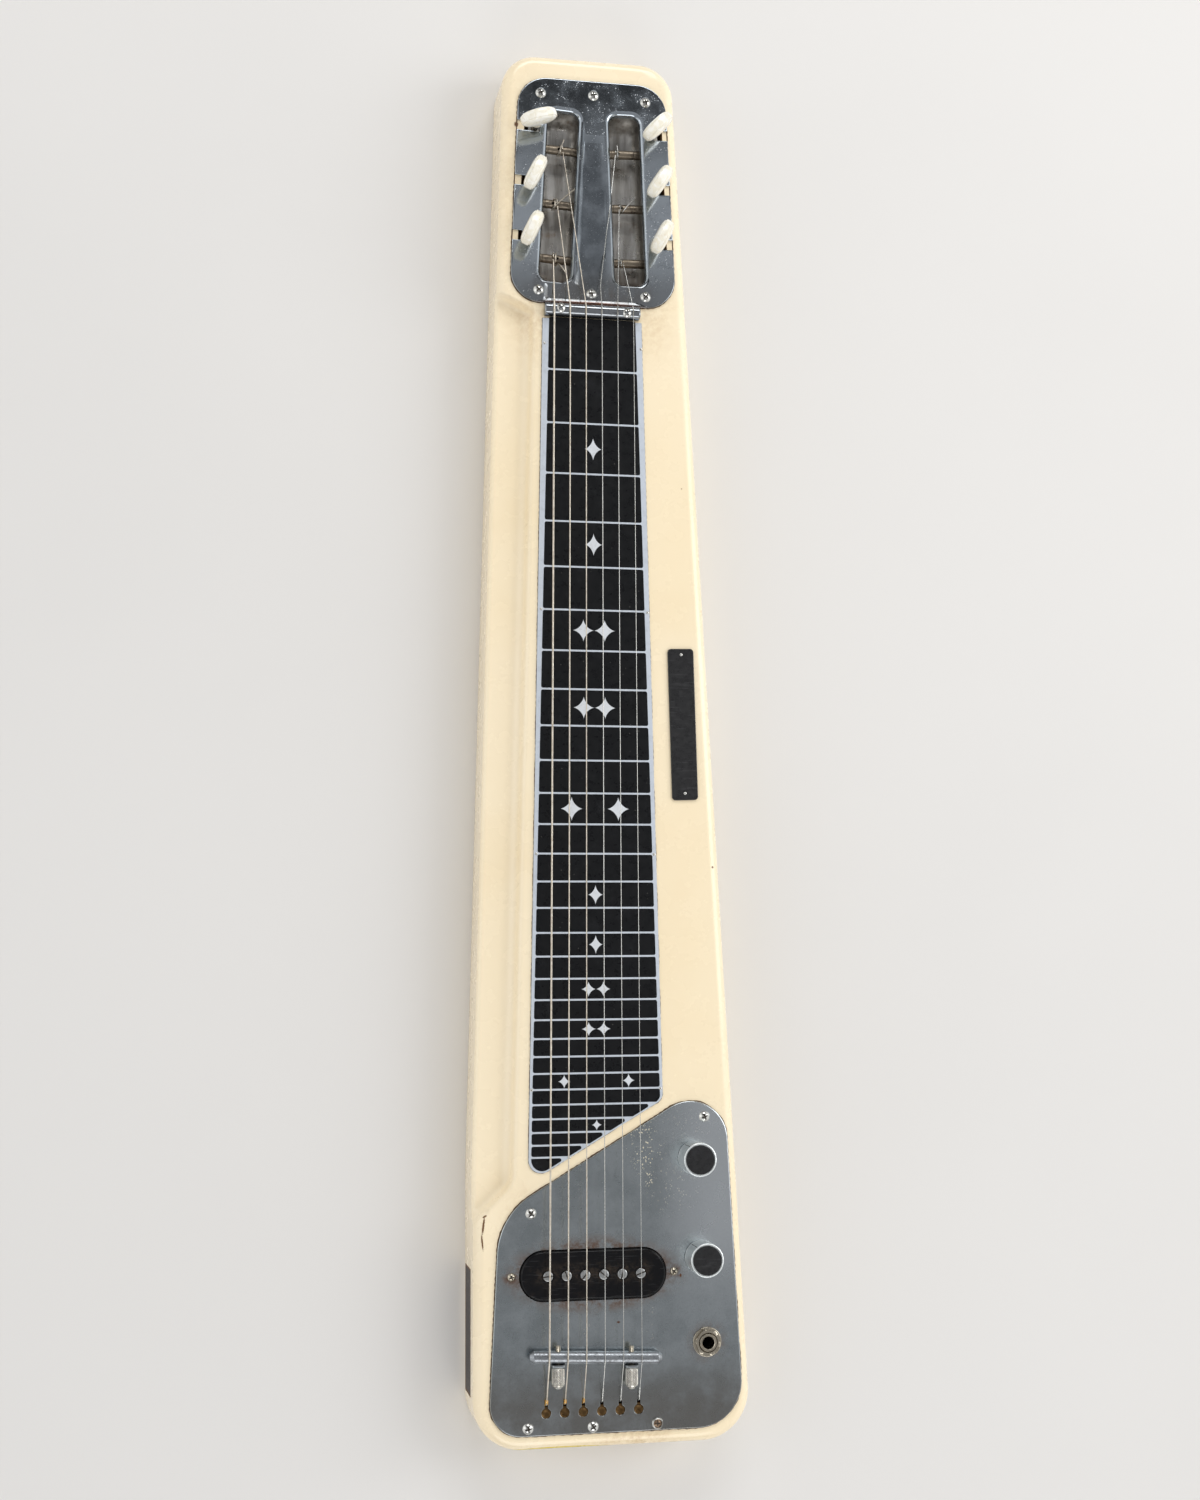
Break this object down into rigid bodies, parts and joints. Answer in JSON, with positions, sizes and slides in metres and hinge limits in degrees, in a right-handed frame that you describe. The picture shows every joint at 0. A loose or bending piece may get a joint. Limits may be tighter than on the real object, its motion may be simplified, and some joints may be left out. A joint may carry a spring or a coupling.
{
  "type": "lap steel guitar",
  "caption": "Flat slab lap steel guitar in worn cream paint, with pearl tuner buttons over open wells, a black fretboard, a grey steel control plate, a pickup and knobs",
  "frame": {"origin": "middle of the bounding box in X and Y, on the flat back that lies on the table or the lap", "axes": "+Z out of the playing face, +Y along the neck to the head, +X to the treble side"},
  "size_m": [0.1506, 0.7674, 0.0585],
  "materials": {
    "cream_paint": "worn gloss paint over wood",
    "dark_strip": "matte",
    "head_chrome": "polished",
    "board_black": "satin",
    "black_enamel": "glossy",
    "dull_plate": "satin",
    "black_plastic": "satin",
    "coil_wire": "satin",
    "magnet_iron": "matte",
    "bridge_metal": "polished",
    "nickel": "polished",
    "pot_metal": "satin",
    "knob_aluminium": "brushed",
    "tuner_steel": "satin",
    "pearl": "glossy",
    "plain_string": "polished",
    "wound_string": "satin"
  },
  "bodies": {
    "frame": {"tuner_channel_left": "tuner_steel", "tuner_channel_right": "tuner_steel", "body": "cream_paint", "side_pad": "dark_strip", "head_plate": "head_chrome", "fretboard": "board_black", "nut": "head_chrome", "badge_plate": "black_enamel", "control_plate": "dull_plate", "pickup_cover": "black_plastic", "pickup_coil": "coil_wire", "pickup_magnet": "magnet_iron", "bridge_rod": "bridge_metal", "bridge_screw_left": "nickel", "bridge_screw_right": "nickel", "volume_pot": "pot_metal", "tone_pot": "pot_metal", "jack_socket": "nickel", "jack_nut": "nickel", "string_1": "plain_string", "string_2": "plain_string", "string_3": "plain_string", "string_4": "wound_string", "string_5": "wound_string", "string_6": "wound_string"},
    "worm_1": {"tuner_worm_1": "nickel", "tuner_button_1": "pearl"},
    "post_1": {"tuner_post_1": "tuner_steel", "string_winding_1": "plain_string"},
    "worm_2": {"tuner_worm_2": "nickel", "tuner_button_2": "pearl"},
    "post_2": {"tuner_post_2": "tuner_steel", "string_winding_2": "plain_string"},
    "worm_3": {"tuner_worm_3": "nickel", "tuner_button_3": "pearl"},
    "post_3": {"tuner_post_3": "tuner_steel", "string_winding_3": "plain_string"},
    "worm_4": {"tuner_worm_4": "nickel", "tuner_button_4": "pearl"},
    "post_4": {"tuner_post_4": "tuner_steel", "string_winding_4": "wound_string"},
    "worm_5": {"tuner_worm_5": "nickel", "tuner_button_5": "pearl"},
    "post_5": {"tuner_post_5": "tuner_steel", "string_winding_5": "wound_string"},
    "worm_6": {"tuner_worm_6": "nickel", "tuner_button_6": "pearl"},
    "post_6": {"tuner_post_6": "tuner_steel", "string_winding_6": "wound_string"},
    "volume_knob_body": {"volume_knob": "knob_aluminium", "volume_knob_cap": "black_plastic"},
    "tone_knob_body": {"tone_knob": "knob_aluminium", "tone_knob_cap": "black_plastic"},
    "pole_1": {"pole_screw_1": "nickel"},
    "pole_2": {"pole_screw_2": "nickel"},
    "pole_3": {"pole_screw_3": "nickel"},
    "pole_4": {"pole_screw_4": "nickel"},
    "pole_5": {"pole_screw_5": "nickel"},
    "pole_6": {"pole_screw_6": "nickel"}
  },
  "joints": [
    {"name": "tuner_1_worm", "type": "hinge", "parent": "frame", "child": "worm_1", "pos_m": [0.02867, 0.27634, 0.029], "axis": [0, 0, 1], "continuous": true},
    {"name": "tuner_1_post", "type": "hinge", "parent": "frame", "child": "post_1", "pos_m": [0.01285, 0.26772, 0.029], "axis": [0.9995, 0.033, 0], "continuous": true},
    {"name": "tuner_2_worm", "type": "hinge", "parent": "frame", "child": "worm_2", "pos_m": [0.02762, 0.30828, 0.029], "axis": [0, 0, 1], "continuous": true},
    {"name": "tuner_2_post", "type": "hinge", "parent": "frame", "child": "post_2", "pos_m": [0.01179, 0.29965, 0.029], "axis": [0.9995, 0.033, 0], "continuous": true},
    {"name": "tuner_3_worm", "type": "hinge", "parent": "frame", "child": "worm_3", "pos_m": [0.02656, 0.34021, 0.029], "axis": [0, 0, 1], "continuous": true},
    {"name": "tuner_3_post", "type": "hinge", "parent": "frame", "child": "post_3", "pos_m": [0.01074, 0.33158, 0.029], "axis": [0.9995, 0.033, 0], "continuous": true},
    {"name": "tuner_4_worm", "type": "hinge", "parent": "frame", "child": "worm_4", "pos_m": [-0.04116, 0.34057, 0.029], "axis": [0, 0, 1], "continuous": true},
    {"name": "tuner_4_post", "type": "hinge", "parent": "frame", "child": "post_4", "pos_m": [-0.02556, 0.33155, 0.029], "axis": [0.9983, -0.058, 0], "continuous": true},
    {"name": "tuner_5_worm", "type": "hinge", "parent": "frame", "child": "worm_5", "pos_m": [-0.04301, 0.30867, 0.029], "axis": [0, 0, 1], "continuous": true},
    {"name": "tuner_5_post", "type": "hinge", "parent": "frame", "child": "post_5", "pos_m": [-0.02741, 0.29965, 0.029], "axis": [0.9983, -0.058, 0], "continuous": true},
    {"name": "tuner_6_worm", "type": "hinge", "parent": "frame", "child": "worm_6", "pos_m": [-0.04486, 0.27677, 0.029], "axis": [0, 0, 1], "continuous": true},
    {"name": "tuner_6_post", "type": "hinge", "parent": "frame", "child": "post_6", "pos_m": [-0.02926, 0.26775, 0.029], "axis": [0.9983, -0.058, 0], "continuous": true},
    {"name": "volume_turn", "type": "hinge", "parent": "frame", "child": "volume_knob_body", "pos_m": [0.04469, -0.23275, 0.045], "axis": [0, 0, 1], "range_deg": [-150, 150]},
    {"name": "tone_turn", "type": "hinge", "parent": "frame", "child": "tone_knob_body", "pos_m": [0.04799, -0.28575, 0.045], "axis": [0, 0, 1], "range_deg": [-150, 150]},
    {"name": "pole_1_height", "type": "slide", "parent": "frame", "child": "pole_1", "axis": [0, 0, 1], "range_m": [-0.0012, 0.0015]},
    {"name": "pole_2_height", "type": "slide", "parent": "frame", "child": "pole_2", "axis": [0, 0, 1], "range_m": [-0.0012, 0.0015]},
    {"name": "pole_3_height", "type": "slide", "parent": "frame", "child": "pole_3", "axis": [0, 0, 1], "range_m": [-0.0012, 0.0015]},
    {"name": "pole_4_height", "type": "slide", "parent": "frame", "child": "pole_4", "axis": [0, 0, 1], "range_m": [-0.0012, 0.0015]},
    {"name": "pole_5_height", "type": "slide", "parent": "frame", "child": "pole_5", "axis": [0, 0, 1], "range_m": [-0.0012, 0.0015]},
    {"name": "pole_6_height", "type": "slide", "parent": "frame", "child": "pole_6", "axis": [0, 0, 1], "range_m": [-0.0012, 0.0015]}
  ],
  "couplings": [
    {"joint": "tuner_1_post", "follows": "tuner_1_worm", "ratio": -0.066667},
    {"joint": "tuner_2_post", "follows": "tuner_2_worm", "ratio": -0.066667},
    {"joint": "tuner_3_post", "follows": "tuner_3_worm", "ratio": -0.066667},
    {"joint": "tuner_4_post", "follows": "tuner_4_worm", "ratio": 0.066667},
    {"joint": "tuner_5_post", "follows": "tuner_5_worm", "ratio": 0.066667},
    {"joint": "tuner_6_post", "follows": "tuner_6_worm", "ratio": 0.066667}
  ]
}
